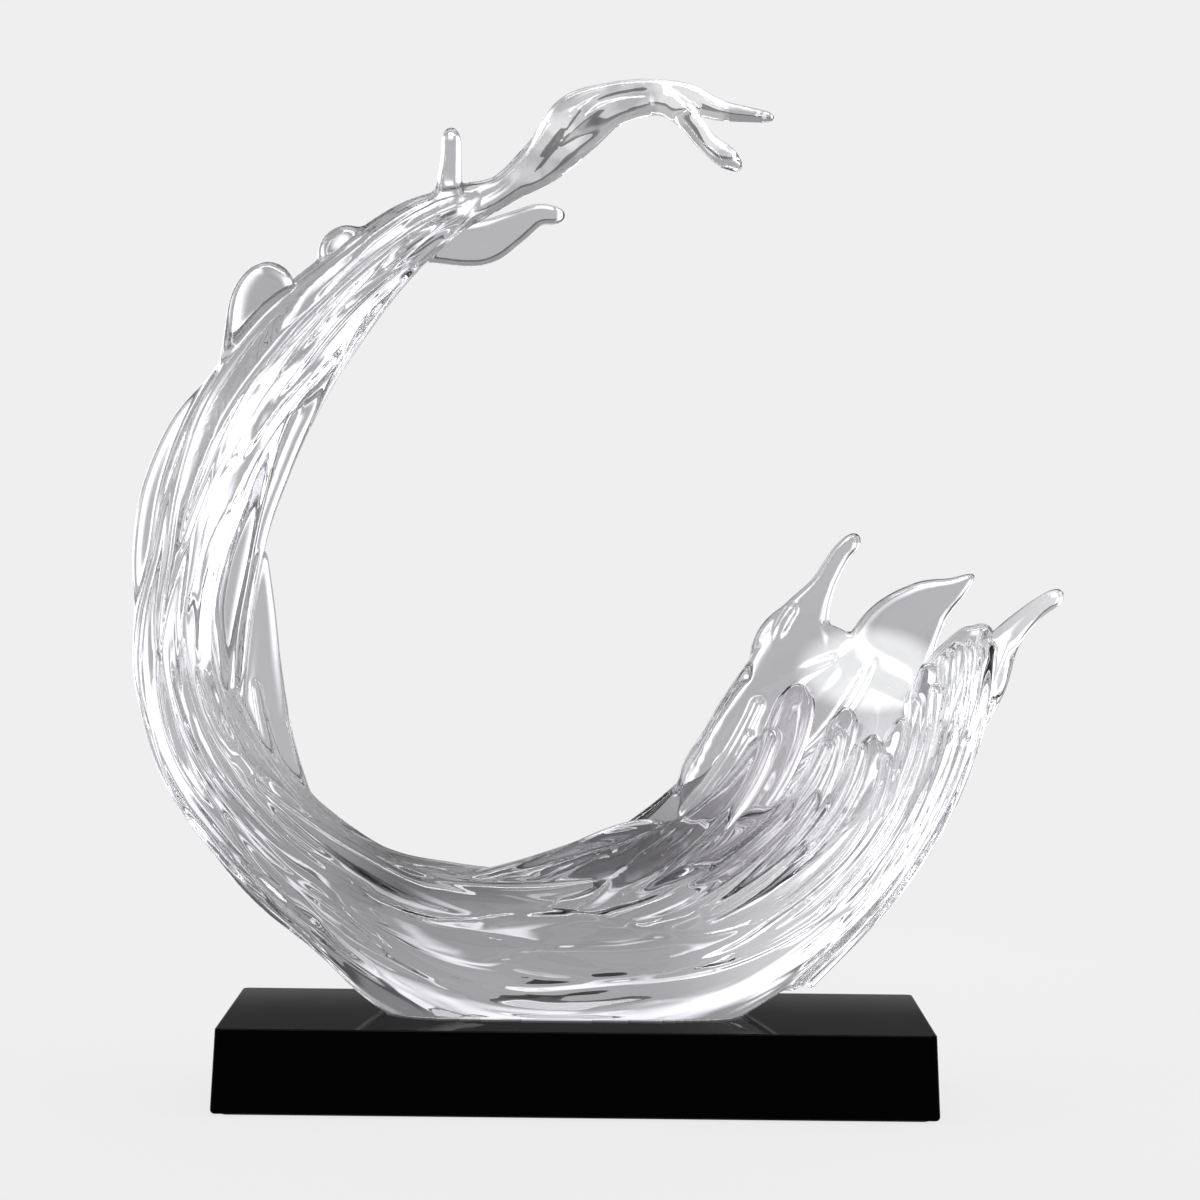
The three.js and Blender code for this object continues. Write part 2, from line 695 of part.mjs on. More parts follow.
const finish = (color, roughness, metalness, more = {}) =>
  new THREE.MeshStandardMaterial({ color, roughness, metalness, ...more });
const clearResin = finish(0xe4e6ea, 0.03, 0, { transparent: true, opacity: 0.35 });
const blackLacquer = finish(0x060607, 0.08, 0);
const blackFelt = finish(0x151516, 0.95, 0);
const zincSteel = finish(0xb9bcc0, 0.35, 1);
const stainlessSteel = finish(0xc9cbcd, 0.25, 1);

// Assembly

const sculpture = new THREE.Group();

function place(name, geometry, material, x = 0, z = 0) {
  const mesh = new THREE.Mesh(geometry, material);
  mesh.name = name;
  mesh.position.set(x, 0, z);
  sculpture.add(mesh);
}

place("wave_casting", waveCasting(), clearResin, 0, PLINTH_TOP);
place("plinth", plinth(), blackLacquer);
place("base_pad", basePad(), blackFelt);
for (const [side, x] of pegPlaces) {
  place(`peg_insert_${side}`, pegInsert(), stainlessSteel, x);
  place(`fixing_bolt_${side}`, bolt(), zincSteel, x);
  place(`spring_washer_${side}`, springWasher(), zincSteel, x);
  place(`flat_washer_${side}`, flatWasher(), zincSteel, x);
}

export default sculpture;
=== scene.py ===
"""A breaking wave in clear resin on a black lacquered plinth, lit and framed as in its photograph."""

import math

import bpy
import numpy as np
import openvdb
from mathutils import Matrix, Vector


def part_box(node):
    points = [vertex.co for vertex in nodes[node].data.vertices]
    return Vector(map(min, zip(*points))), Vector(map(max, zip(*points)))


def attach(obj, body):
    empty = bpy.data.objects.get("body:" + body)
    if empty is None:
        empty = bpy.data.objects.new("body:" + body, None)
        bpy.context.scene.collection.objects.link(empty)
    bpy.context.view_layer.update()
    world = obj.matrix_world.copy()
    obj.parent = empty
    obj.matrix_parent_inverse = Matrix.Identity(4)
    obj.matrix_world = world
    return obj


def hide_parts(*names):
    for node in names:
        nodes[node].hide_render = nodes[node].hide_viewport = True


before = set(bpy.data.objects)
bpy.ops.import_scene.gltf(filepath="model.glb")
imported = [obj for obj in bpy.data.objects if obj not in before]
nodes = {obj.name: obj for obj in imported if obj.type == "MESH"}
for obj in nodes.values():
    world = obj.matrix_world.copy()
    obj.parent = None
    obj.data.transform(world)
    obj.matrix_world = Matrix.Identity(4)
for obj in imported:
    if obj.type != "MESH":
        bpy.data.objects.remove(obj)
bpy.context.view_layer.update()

# Sizes. The water is worked out in millimetres from the plinth's top, and its mesh is in metres.
MM = 0.001
PLINTH_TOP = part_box("plinth")[1][2]
# The gap between the wave's sole and the plinth, and the height up to which the sole is sanded.
FOOT_GAP = 0.15
SANDED_HEIGHT = 0.4
# The grid of distances: its step, its corners, the largest distance that it holds, how far past a stream's
# surface it is worked out, and how many columns are taken at a time.
VOXEL = 0.8
FIELD_LOW = (-232.0, -44.0, -4.0)
FIELD_HIGH = (246.0, 44.0, 466.0)
FAR = 6.0
MARGIN = 7.0
SPARE_REACH = 4.0
CHUNK = 16384
# How finely a stream is sampled: points to a station, the step along the flow, the fewest samples, and the
# number of angles round it.
STATION_POINTS = 40
SAMPLE_STEP = 1.5
LEAST_SAMPLES = 8
ANGLES = 512

# The water's streams. A station has the x, y and z of the stream's middle, its half width across the flow and
# its half depth from front to back.
CRESCENT = [
    [208, 0, 186, 5, 6],
    [194, 0, 162, 9, 12],
    [178, 0, 127, 13, 18],
    [153, 0, 90, 17, 23],
    [114, 0, 56, 24, 27],
    [66, 0, 30, 34, 30],
    [11, 0, 22, 42, 31],
    [-39, 0, 24, 44, 31],
    [-82, 0, 37, 38, 30],
    [-117, 0, 58, 28, 28],
    [-151, 0, 85, 25, 27],
    [-181, 0, 121, 24, 25],
    [-196, 0, 158, 21, 24],
    [-199, 0, 190, 19, 24],
    [-194, 0, 222, 17, 23],
    [-187, 0, 252, 19, 22],
    [-176, 0, 282, 20, 21],
    [-161, 1, 307, 21, 19],
    [-140, 2, 333, 22, 18],
    [-110, 2, 364, 17, 15],
    [-83, 0, 386, 14, 12],
    [-57, -2, 399, 9, 9],
]
CREST_ARM = [
    [-72, 0, 395, 9, 7],
    [-57, -2, 399, 9, 7],
    [-40, -4, 406, 7, 6.5],
    [-20, -6, 421, 11, 6],
    [-4, -6, 439, 14, 6],
    [15, -6, 449, 10, 5.5],
    [36, -8, 452, 8.5, 5.5],
    [51, -8, 451, 7, 5],
    [65, -6, 446, 5, 4],
    [80, -4, 444, 3.5, 3],
    [90, -2, 443, 2.5, 2.5],
]
CREST_DRIP = [
    [36, -8, 451, 6.5, 7],
    [49, -12, 441, 5.5, 6],
    [58, -16, 430, 5, 5],
    [67, -20, 422, 5.5, 5.5],
    [72, -22, 418, 4.5, 4.5],
]
CREST_LEAF = [
    [-94, 8, 380, 7, 5],
    [-73, 10, 380, 9.5, 4],
    [-52, 12, 381, 11, 3.5],
    [-37, 12, 388, 8.5, 3.5],
    [-24, 11, 395, 5.5, 4],
    [-14, 10, 395, 4.5, 4],
]
CREST_SPOUT = [
    [-68, -4, 394, 9, 8],
    [-67, -5, 408, 6.5, 6],
    [-66, -6, 421, 5, 5],
    [-66, -6, 431, 5, 5],
]
SHOULDER_LOBE = [
    [-166, -4, 305, 15, 9],
    [-162, -7, 329, 15, 7],
    [-158, -9, 350, 15, 5],
    [-151, -9, 363, 11, 5],
]
SHOULDER_KNOB = [
    [-104, 6, 355, 14, 8],
    [-116, 5, 372, 15, 7],
    [-122, 4, 381, 13, 6],
]
OUTER_FIN = [
    [-184, 3, 309, 4, 5],
    [-197, 3, 287, 8, 5],
    [-207, 3, 257, 11, 5],
    [-213, 3, 227, 9.5, 5],
    [-215, 3, 197, 6.5, 5],
    [-217, 3, 162, 3, 4],
]
COLUMN_LEAF = [
    [-147, -6, 296, 2.5, 5],
    [-157, -6, 274, 5, 6],
    [-166, -6, 244, 7.5, 6],
    [-172, -6, 215, 8, 6],
    [-175, -6, 188, 6, 6],
    [-174, -6, 159, 3, 5],
]
COLUMN_EDGE = [
    [-84, -1, 368, 2.5, 5],
    [-99, -1, 352, 4, 6],
    [-113, -2, 334, 5, 7],
    [-128, -2, 311, 5, 7],
    [-141, -2, 286, 5, 7],
    [-150, -2, 263, 4.5, 6],
    [-158, -2, 239, 4, 6],
    [-164, -2, 208, 3, 6],
    [-168, -2, 176, 3, 6],
    [-170, -2, 142, 2.5, 5],
]
INNER_FIN = [
    [-159, 6, 225, 3, 4],
    [-159, 6, 198, 7, 4],
    [-159, 6, 168, 10.5, 4],
    [-156, 6, 138, 12.5, 4],
    [-148, 6, 113, 11.5, 4],
    [-135, 6, 92, 8, 5],
    [-117, 6, 77, 5, 6],
]
FIN_LEAF = [
    [-161, 1, 161, 1.5, 3],
    [-157, 1, 141, 2.5, 4],
    [-151, 1, 121, 3.5, 5],
    [-141, 1, 104, 3, 5],
    [-130, 1, 91, 2, 4],
]
FRONT_WALL = [
    [-18, -13, 40, 16, 9],
    [31, -15, 53, 27, 8],
    [74, -17, 76, 24, 6],
    [104, -18, 96, 11, 5],
    [122, -18, 108, 4, 4],
]
FRONT_LIP = [
    [-53, -12, 66, 4, 8],
    [-24, -12, 70, 8, 7],
    [3, -12, 76, 11, 6],
    [28, -12, 81, 14, 6],
    [46, -12, 85, 12, 6],
    [60, -12, 91, 6, 5],
]
BACK_WALL = [
    [-17, 14, 43, 25, 10],
    [31, 18, 55, 32, 9],
    [77, 22, 83, 40, 8],
    [111, 25, 126, 49, 7],
    [136, 28, 158, 50, 6],
    [147, 30, 177, 43, 5],
]
WALL_FINGER = [
    [111, 27, 159, 22, 6],
    [107, 30, 179, 21, 5],
    [114, 32, 197, 12.5, 5],
    [122, 32, 212, 6.5, 5],
    [130, 31, 227, 5, 4.5],
    [137, 30, 235, 4.5, 4],
]
WALL_WING = [
    [151, 28, 165, 25, 6],
    [161, 30, 187, 21, 5],
    [174, 30, 202, 14, 5],
    [188, 28, 211, 6.5, 4],
    [196, 27, 217, 2.5, 2.5],
]
WALL_LOBE = [
    [56, 20, 95, 7, 6],
    [62, 24, 116, 11.5, 5],
    [76, 27, 136, 11.5, 5],
    [93, 28, 156, 12, 5],
]
RIM_FINGER = [
    [188, 2, 146, 13, 11],
    [199, 0, 168, 13, 10],
    [210, -2, 187, 7.5, 7],
    [223, -4, 201, 5, 5],
    [234, -6, 209, 4.5, 4.5],
]
FAN_EDGE = [
    [199, -1, 161, 3, 5],
    [186, -1, 123, 4.5, 7],
    [163, -2, 82, 5.5, 8],
    [126, -2, 40, 6, 8],
    [92, -2, 13, 5, 6],
]
RIM_BUMP = [
    [174, 16, 146, 15, 8],
    [183, 15, 166, 14, 7],
    [194, 12, 183, 10, 6],
    [200, 11, 189, 7, 6],
]
# Leaves, strands and ripples that follow the flow and end in round tips: the x and z of the root, of the bend
# and of the tip, the half width, and the y of the root and of the tip.
FRONT_LEAVES = [
    [-16, 65, 67, 84, 90, 139, 7, -17, -23],
    [4, 55, 91, 84, 107, 164, 12, -18, -27],
    [21, 44, 116, 87, 130, 153, 9, -20, -29],
    [36, 37, 132, 88, 143, 140, 8, -22, -32],
    [55, 28, 152, 87, 157, 148, 9, -21, -29],
    [68, 22, 169, 85, 169, 175, 9, -20, -30],
    [83, 17, 182, 85, 184, 185, 8, -18, -24],
    [105, 16, 195, 89, 198, 192, 6.5, -14, -16],
]
FRONT_STRANDS = [
    [6, 53, 79, 84, 93, 141, 3, -21, -31],
    [16, 49, 103, 85, 120, 137, 3, -23, -33],
    [31, 39, 120, 85, 126, 142, 3, -23, -34],
    [38, 36, 131, 83, 137, 136, 3, -25, -36],
    [55, 29, 147, 78, 149, 130, 3, -25, -36],
    [63, 25, 159, 81, 162, 159, 3, -23, -34],
    [77, 20, 169, 83, 172, 164, 2.6, -23, -34],
    [82, 17, 176, 85, 176, 179, 2.6, -21, -31],
    [95, 17, 181, 90, 180, 183, 2.4, -19, -29],
    [100, 17, 188, 90, 190, 187, 2.6, -17, -25],
    [110, 17, 191, 94, 194, 183, 2.4, -15, -21],
    [115, 16, 197, 94, 202, 185, 2.8, -12, -15],
]
TROUGH_LEAVES = [
    [-160, 117, -92, 58, -31, 50, 5, -27, -29],
    [-118, 79, -62, 51, -10, 58, 6, -27, -28],
    [-78, 68, -25, 56, 14, 69, 5, -26, -26],
    [-134, 75, -62, 22, -21, 38, 8, -27, -29],
    [-148, 82, -92, 14, -1, 27, 8, -26, -27],
    [79, 41, 21, 15, -39, 20, 6, -26, -26],
    [79, 60, 35, 40, -2, 41, 5, -26, -29],
    [79, 77, 40, 52, 1, 48, 5, -26, -28],
]
WALL_STRANDS = [
    [53, 98, 74, 117, 89, 153, 3.5, 13, 20],
    [45, 85, 67, 104, 85, 137, 2.5, 12, 17],
    [63, 80, 95, 105, 110, 147, 3, 12, 19],
    [98, 183, 100, 192, 106, 200, 3.5, 27, 28],
    [106, 168, 116, 171, 127, 176, 3.5, 25, 26],
]
# How square a stream's section is: 2 is an ellipse, and higher has flat faces and round edges.
BUNDLE_SQUARENESS = 3.0
SHEET_SQUARENESS = 3.2
BLADE_SQUARENESS = 5.0
FINGER_SQUARENESS = 2.8
STRAND_SQUARENESS = 2.2
LEAF_SQUARENESS = 2.3
# The half width of a leaf, ripple or strand at places from root to tip, as a share of its widest, and the
# half depth of all three.
LEAF_WIDTHS = (0.5, 0.9, 1.0, 1.0, 0.97, 0.85, 0.5)
RIPPLE_WIDTHS = (0.2, 0.8, 1.0, 0.95, 0.75, 0.4, 0.1)
STRAND_WIDTHS = (0.6, 0.85, 1.0, 1.0, 0.95, 0.9, 1.0)
OFFSHOOT_DEPTH = 5.0
# How much closer these places stand toward the tip, and how soon the tip's y is reached: below 1 is sooner.
TIP_CROWDING = 1.6
TIP_SWEEP = 0.7
# Main strands that ride on the crescent, laid out by the golden ratio so that none line up. Lengths are
# shares of the crescent's length.
STRANDS = 24
STRAND_HALF_WIDTH = 10.0
STRAND_HEIGHT = 5.5
STRAND_SINK = 2.5
STRAND_SHORTEST = 0.2
STRAND_EXTRA_LENGTH = 0.2
STRAND_DRIFT = 1.0
GOLDEN_RATIO = 0.618034
# Strands and ridges fade toward their ends by a power of a sine, and are smaller where the stream's radius
# is below their room.
STRAND_TAPER = 0.6
STRAND_ROOM = 20.0
# Ridges sway a little from side to side. One that covers too few samples is left out.
RIDGE_SWAY = 0.12
RIDGE_SWAYS = 5
RIDGE_PHASES = (0, 6)
RIDGE_END = 0.01
RIDGE_LEAST_SAMPLES = 6
# The strands of a rope wander and swell by a few sine waves along the flow. Their spans are in millimetres,
# and their turn is about a whole one.
ROPE_ROOM = 22.0
ROPE_TURN = 6.3
ROPE_WANDER_SPANS = (60, 260)
ROPE_WANDER_WAVES = 3
ROPE_WANDER = 0.6
ROPE_SWELL_SPANS = (90, 300)
ROPE_SWELL_WAVES = 2
ROPE_SWELL_MIDDLE = 0.55
ROPE_SWELL_RANGE = 0.45
ROPE_LEAST_WIDTH = 0.6
ROPE_EXTRA_WIDTH = 0.6
ARM_SINK = 3.0
# Below this height the ridges fade to their least share, so that the foot is plain.
CALM_HEIGHT = 46.0
CALM_LEAST = 0.2
# How far inside a stream's end its dome starts, in radii.
DOME_INSET = 0.8
# Fillets where streams join.
NARROW_FILLET = 1.5
FILLET = 2.0
WIDE_FILLET = 3.0
# Least values that keep a division from failing at a stream's middle.
LEAST_RING = 1e-6
LEAST_SLOPE = 1e-9
# How far each pass of smoothing moves a point toward its neighbours' middle, by turns in and out.
SMOOTHING = (0.5, -0.53) * 14


def spline(stations, count):
    """Points of a smooth curve through the stations, evenly spread between them."""
    points = np.array(stations, float)
    padded = np.vstack([2 * points[0] - points[1], points, 2 * points[-1] - points[-2]])
    place = np.linspace(0, len(points) - 1, count)
    first = np.minimum(place.astype(int), len(points) - 2)
    part = (place - first)[:, None]
    a, b, c, d = (padded[first + k] for k in range(4))
    cubic = (3 * b - a - 3 * c + d) * part**3
    return 0.5 * (2 * b + (c - a) * part + (2 * a - 5 * b + 4 * c - d) * part**2 + cubic)


def angles_from(centre):
    """The angles round a stream as seen from each centre, from half a turn back to half a turn on."""
    angle = np.linspace(0, 2 * math.pi, ANGLES, endpoint=False)
    return (angle[None, :] - centre[:, None] + math.pi) % (2 * math.pi) - math.pi


def mean_of_waves(random, along, spans, number):
    """The mean of some sine waves along the flow, each with a span and a phase of its own."""
    chosen = [(random.uniform(*spans), random.uniform(0, ROPE_TURN)) for _ in range(number)]
    return sum(np.sin(along / span * ROPE_TURN + phase) for span, phase in chosen) / number


class Stream:
    """A bundle or sheet of water along a curve that lies almost in the wave's own plane."""

    def __init__(self, stations, squareness):
        self.squareness = squareness
        dense = spline(stations, STATION_POINTS * len(stations))
        steps = np.hypot(*np.diff(dense[:, [0, 2]], axis=0).T)
        along = np.concatenate([[0], np.cumsum(steps)])
        self.count = max(LEAST_SAMPLES, round(along[-1] / SAMPLE_STEP))
        even = np.linspace(0, along[-1], self.count)
        self.step = even[1]
        columns = [np.interp(even, along, column) for column in dense.T]
        self.x, self.y, self.z, self.half_width, self.half_depth = columns
        flow = np.gradient(np.stack([self.x, self.z]), axis=1)
        self.flow_x, self.flow_z = flow / np.hypot(*flow)
        self.radius = np.minimum(self.half_width, self.half_depth)
        self.ridges = np.zeros((self.count, ANGLES), np.float32)

    def room(self, size):
        """The share of their size that ridges keep, which is less where the stream is slimmer than a size."""
        return np.minimum(1, self.radius / size)

    def lay_strand(self, rows, centre, swell, half_width, height, join=np.maximum):
        """Lays one strand over some rows of samples. centre is its angle and swell the share of its size, row
        by row."""
        reach = np.hypot(self.half_width[rows] * np.sin(centre), self.half_depth[rows] * np.cos(centre))
        spread = angles_from(centre) * (reach / (half_width * swell))[:, None]
        bump = (height * swell)[:, None] * np.maximum(0, 1 - spread**2)
        self.ridges[rows] = join(self.ridges[rows], bump)

    def add_strands(self):
        """Lays the main strands on the surface."""
        place = np.linspace(0, 1, self.count)
        for k in range(1, STRANDS + 1):
            length = STRAND_SHORTEST + STRAND_EXTRA_LENGTH * (3 * k * GOLDEN_RATIO % 1)
            start = (1 - length) * (k - 0.5) / STRANDS
            drift = STRAND_DRIFT * (5 * k * GOLDEN_RATIO % 1 - 0.5)
            rows = np.flatnonzero((place > start) & (place < start + length))
            part = (place[rows] - start) / length
            centre = 2 * math.pi * (k * GOLDEN_RATIO % 1) + drift * part
            swell = self.room(STRAND_ROOM)[rows] * np.sin(math.pi * part) ** STRAND_TAPER
            self.lay_strand(rows, centre, swell, STRAND_HALF_WIDTH, STRAND_HEIGHT)

    def add_ridges(
        self,
        number,
        seed,
        length,
        width,
        height,
        drift,
        share=(0, 1),
        sector=(0, 2 * math.pi),
        join=np.maximum,
    ):
        """Lays ridges on the surface. length is a range of millimetres along the flow, width and height are
        ranges of half width and height, drift is how far round a ridge may wander, share is the stretch of
        the stream that their middles lie in, and sector the angles round it."""
        random = np.random.default_rng(seed)
        first, last = share
        for k in range(number):
            size = max(RIDGE_LEAST_SAMPLES, int(random.uniform(*length) / self.step))
            middle = self.count * (first + (last - first) * (k + random.uniform(0, 1)) / number)
            rows = np.arange(max(0, int(middle - size / 2)), min(self.count, int(middle + size / 2)))
            start = random.uniform(*sector)
            bend = random.uniform(-drift, drift)
            phase = random.uniform(*RIDGE_PHASES)
            half_width = random.uniform(*width)
            high = random.uniform(*height)
            if len(rows) < RIDGE_LEAST_SAMPLES:
                continue
            part = (rows - middle) / size + 0.5
            taper = np.sin(np.clip(part, RIDGE_END, 1 - RIDGE_END) * math.pi) ** STRAND_TAPER
            centre = start + bend * (part - 0.5) + RIDGE_SWAY * np.sin(RIDGE_SWAYS * part + phase)
            swell = self.room(STRAND_ROOM)[rows] * taper
            self.lay_strand(rows, centre, swell, half_width, high, join)

    def add_rope(self, number, seed, twist, height, fill):
        """Lays strands side by side all round the stream, each of which swells and fades along the flow.
        twist is their turn from end to end, and fill their half width as a share of their spacing."""
        random = np.random.default_rng(seed)
        along = np.arange(self.count) * self.step
        spacing = 2 * math.pi / number
        for k in range(number):
            wander = mean_of_waves(random, along, ROPE_WANDER_SPANS, ROPE_WANDER_WAVES)
            swell = mean_of_waves(random, along, ROPE_SWELL_SPANS, ROPE_SWELL_WAVES)
            swell = ROPE_SWELL_MIDDLE + ROPE_SWELL_RANGE * swell
            centre = k * spacing + twist * along / along[-1] + wander * spacing * ROPE_WANDER
            half_width = spacing * fill * (ROPE_LEAST_WIDTH + ROPE_EXTRA_WIDTH * swell)
            spread = angles_from(centre) / half_width[:, None]
            bump = (height * self.room(ROPE_ROOM) * swell)[:, None] * (1 - spread**2)
            self.ridges = np.maximum(self.ridges, bump.astype(np.float32))

    def sink(self, depth):
        """Lowers the ridges, so that they swell about the stream's own outline and not only outside it."""
        self.ridges -= depth * self.room(ROPE_ROOM)[:, None].astype(np.float32)

    def columns(self, field):
        """For the field's columns near this stream: their indices, the place along the stream, the distance
        across it and past its ends, and the stream's y, half width and half depth there."""
        reach = self.half_width.max() + MARGIN + SPARE_REACH
        near_x = np.flatnonzero((field.x > self.x.min() - reach) & (field.x < self.x.max() + reach))
        near_z = np.flatnonzero((field.z > self.z.min() - reach) & (field.z < self.z.max() + reach))
        index_x, index_z = (grid.ravel() for grid in np.meshgrid(near_x, near_z, indexing="ij"))
        x, z = field.x[index_x], field.z[index_z]
        spine_x, spine_z = self.x.astype(np.float32), self.z.astype(np.float32)
        nearest = np.empty(len(x), int)
        for start in range(0, len(x), CHUNK):
            part = slice(start, start + CHUNK)
            away = (x[part, None] - spine_x) ** 2 + (z[part, None] - spine_z) ** 2
            nearest[part] = np.argmin(away, axis=1)
        ahead = (x - spine_x[nearest]) * self.flow_x[nearest] + (z - spine_z[nearest]) * self.flow_z[nearest]
        place = nearest + ahead / self.step
        inset = DOME_INSET * self.radius
        before = inset[0] - place * self.step
        after = inset[-1] + (place - (self.count - 1)) * self.step
        beyond = np.maximum(np.maximum(before, after), 0)
        place = np.clip(place, 0, self.count - 1)

        def there(values):
            return np.interp(place, np.arange(self.count), values)

        half_width, half_depth = there(self.half_width), there(self.half_depth)
        across = (z - there(self.z)) * there(self.flow_x) - (x - there(self.x)) * there(self.flow_z)
        keep = (np.abs(across) < half_width + MARGIN) & (beyond < (1 + DOME_INSET) * half_depth + MARGIN)
        found = (place, across, beyond, there(self.y), half_width, half_depth)
        return (index_x[keep], index_z[keep]), [value[keep].astype(np.float32) for value in found]

    def pour(self, field, fillet):
        """Joins the stream to the field, with a fillet of about that size."""
        columns, (place, across, beyond, middle, half_width, half_depth) = self.columns(field)
        end = (1 + DOME_INSET) * np.minimum(half_width, half_depth)
        power = self.squareness
        side = (across / half_width)[:, None]
        past = (beyond / end)[:, None]
        front = (middle[:, None] - field.y[None, :]) / half_depth[:, None]
        ring = np.maximum(np.abs(side) ** power + np.abs(front) ** power, LEAST_RING) ** (1 / power)
        size = np.hypot(ring, past)
        slope = (np.abs(side) ** (power - 1) / half_width[:, None]) ** 2
        slope = slope + (np.abs(front) ** (power - 1) / half_depth[:, None]) ** 2
        slope = slope * ring ** (4 - 2 * power) + (past / end[:, None]) ** 2
        distance = (size - 1) * size / np.sqrt(np.maximum(slope, LEAST_SLOPE))
        if self.ridges.any():
            turn = np.arctan2(front, side) / (2 * math.pi) * ANGLES
            calm = np.clip(field.z[columns[1]] / CALM_HEIGHT, CALM_LEAST, 1)[:, None]
            distance -= self.ridge_height(place, turn) * np.clip(1 - past, 0, 1) * calm
        field.blend(columns, np.clip(distance, -FAR, FAR), fillet)

    def ridge_height(self, place, turn):
        """The ridges' height, read between the four nearest entries."""
        row = np.minimum(place.astype(int), self.count - 2)
        low_part = (place - row)[:, None]
        column = np.floor(turn).astype(int)
        side_part = turn - column
        column %= ANGLES
        following = (column + 1) % ANGLES
        row = row[:, None]
        near = self.ridges[row, column] * (1 - side_part) + self.ridges[row, following] * side_part
        far = self.ridges[row + 1, column] * (1 - side_part) + self.ridges[row + 1, following] * side_part
        return near * (1 - low_part) + far * low_part


class Field:
    """Distances to the water's surface, negative inside it, in columns of x and z that run along y."""

    def __init__(self, low, high, voxel):
        self.voxel = voxel
        self.x, self.y, self.z = (np.arange(a, b, voxel, dtype=np.float32) for a, b in zip(low, high))
        self.values = np.full((len(self.x), len(self.z), len(self.y)), FAR, np.float32)

    def blend(self, columns, distance, fillet):
        """Joins a body to the water by its distances."""
        old = self.values[columns]
        part = np.clip(0.5 + 0.5 * (old - distance) / fillet, 0, 1)
        self.values[columns] = old + (distance - old) * part - fillet * part * (1 - part)

    def cut_below(self, height):
        """Cuts the water flat at a height."""
        self.values = np.maximum(self.values, (height - self.z)[None, :, None])

    def soften(self):
        """Evens out the distances over neighbours along each axis."""
        for axis in range(3):
            layers = np.moveaxis(self.values, axis, 0)
            layers[1:-1] = 0.5 * layers[1:-1] + 0.25 * (layers[:-2] + layers[2:])

    def mesh(self, name):
        """The water's surface as a smooth mesh in metres."""
        grid = openvdb.FloatGrid(FAR)
        grid.copyFromArray(np.ascontiguousarray(self.values))
        points, _, quads = grid.convertToPolygons()
        used, quads = np.unique(main_body(len(points), quads), return_inverse=True)
        quads = quads.reshape(-1, 4)
        corner = np.array([self.x[0], self.y[0], self.z[0]])
        places = (points[used][:, [0, 2, 1]] * self.voxel + corner).astype(float) * MM
        places[:, 2] += PLINTH_TOP
        mesh = bpy.data.meshes.new(name)
        mesh.from_pydata(smoothed(places, quads), [], quads[:, ::-1].tolist())
        mesh.shade_smooth()
        return mesh


def main_body(count, quads):
    """The quads of the largest joined surface, without the specks that thin ridges leave."""
    body = np.arange(count)
    joined = False
    while not joined:
        lowest = body[quads].min(axis=1)
        lower = body.copy()
        for corner in quads.T:
            np.minimum.at(lower, corner, lowest)
        lower = lower[lower]
        lower = lower[lower]
        joined = np.array_equal(lower, body)
        body = lower
    largest = np.bincount(body).argmax()
    return quads[body[quads[:, 0]] == largest]


def smoothed(places, quads):
    """The points drawn toward their neighbours' middles and back, which takes off the grid's small steps."""
    start = quads.ravel()
    end = np.roll(quads, -1, axis=1).ravel()
    total = len(places)

    def over_neighbours(values):
        return np.bincount(start, values[end], total) + np.bincount(end, values[start], total)

    number = np.maximum(over_neighbours(np.ones(total)), 1)[:, None]
    for pull in SMOOTHING:
        sums = np.stack([over_neighbours(column) for column in places.T], axis=1)
        places = places + pull * (sums / number - places)
    return places


def offshoot(row, widths, squareness):
    """A slim stream from a root to a loose tip, which is bent like a bow."""
    root_x, root_z, bend_x, bend_z, tip_x, tip_z, half_width, root_y, tip_y = row
    stations = []
    for k, swell in enumerate(widths):
        part = 1 - (1 - k / (len(widths) - 1)) ** TIP_CROWDING
        x = (1 - part) ** 2 * root_x + 2 * part * (1 - part) * bend_x + part**2 * tip_x
        z = (1 - part) ** 2 * root_z + 2 * part * (1 - part) * bend_z + part**2 * tip_z
        y = root_y + (tip_y - root_y) * part**TIP_SWEEP
        stations.append([x, y, z, half_width * swell, OFFSHOOT_DEPTH * swell])
    return Stream(stations, squareness)


def crescent_bundle():
    """The crescent with its main strands, a rope of finer ones, ridges, and thin lines on its front."""
    crescent = Stream(CRESCENT, BUNDLE_SQUARENESS)
    crescent.add_strands()
    crescent.add_rope(number=19, seed=2, twist=2.0, height=4.5, fill=0.6)
    crescent.add_ridges(
        number=26, seed=9, length=(150, 320), width=(5, 10), height=(3.5, 6), drift=0.5, share=(0.18, 0.5)
    )
    crescent.add_ridges(
        number=34, seed=4, length=(110, 260), width=(2.4, 4), height=(3.5, 6), drift=0.4, share=(0.5, 0.95)
    )
    crescent.add_ridges(
        number=22, seed=5, length=(70, 160), width=(5, 9), height=(4, 7), drift=0.3, share=(0, 0.2)
    )
    crescent.add_ridges(
        number=40,
        seed=12,
        length=(150, 360),
        width=(1.6, 2.8),
        height=(1.2, 2.0),
        drift=0.5,
        share=(0.15, 0.6),
        sector=(0.2, 2.9),
        join=np.add,
    )
    crescent.sink(STRAND_SINK)
    return crescent


def crest_arm():
    """The ribbon that reaches out from the crest, with a rope of strands and ridges."""
    arm = Stream(CREST_ARM, SHEET_SQUARENESS)
    arm.add_rope(number=7, seed=8, twist=1.6, height=7.0, fill=0.65)
    arm.add_ridges(
        number=10, seed=15, length=(40, 110), width=(4, 6), height=(3, 4.5), drift=0.5, join=np.add
    )
    arm.sink(ARM_SINK)
    return arm


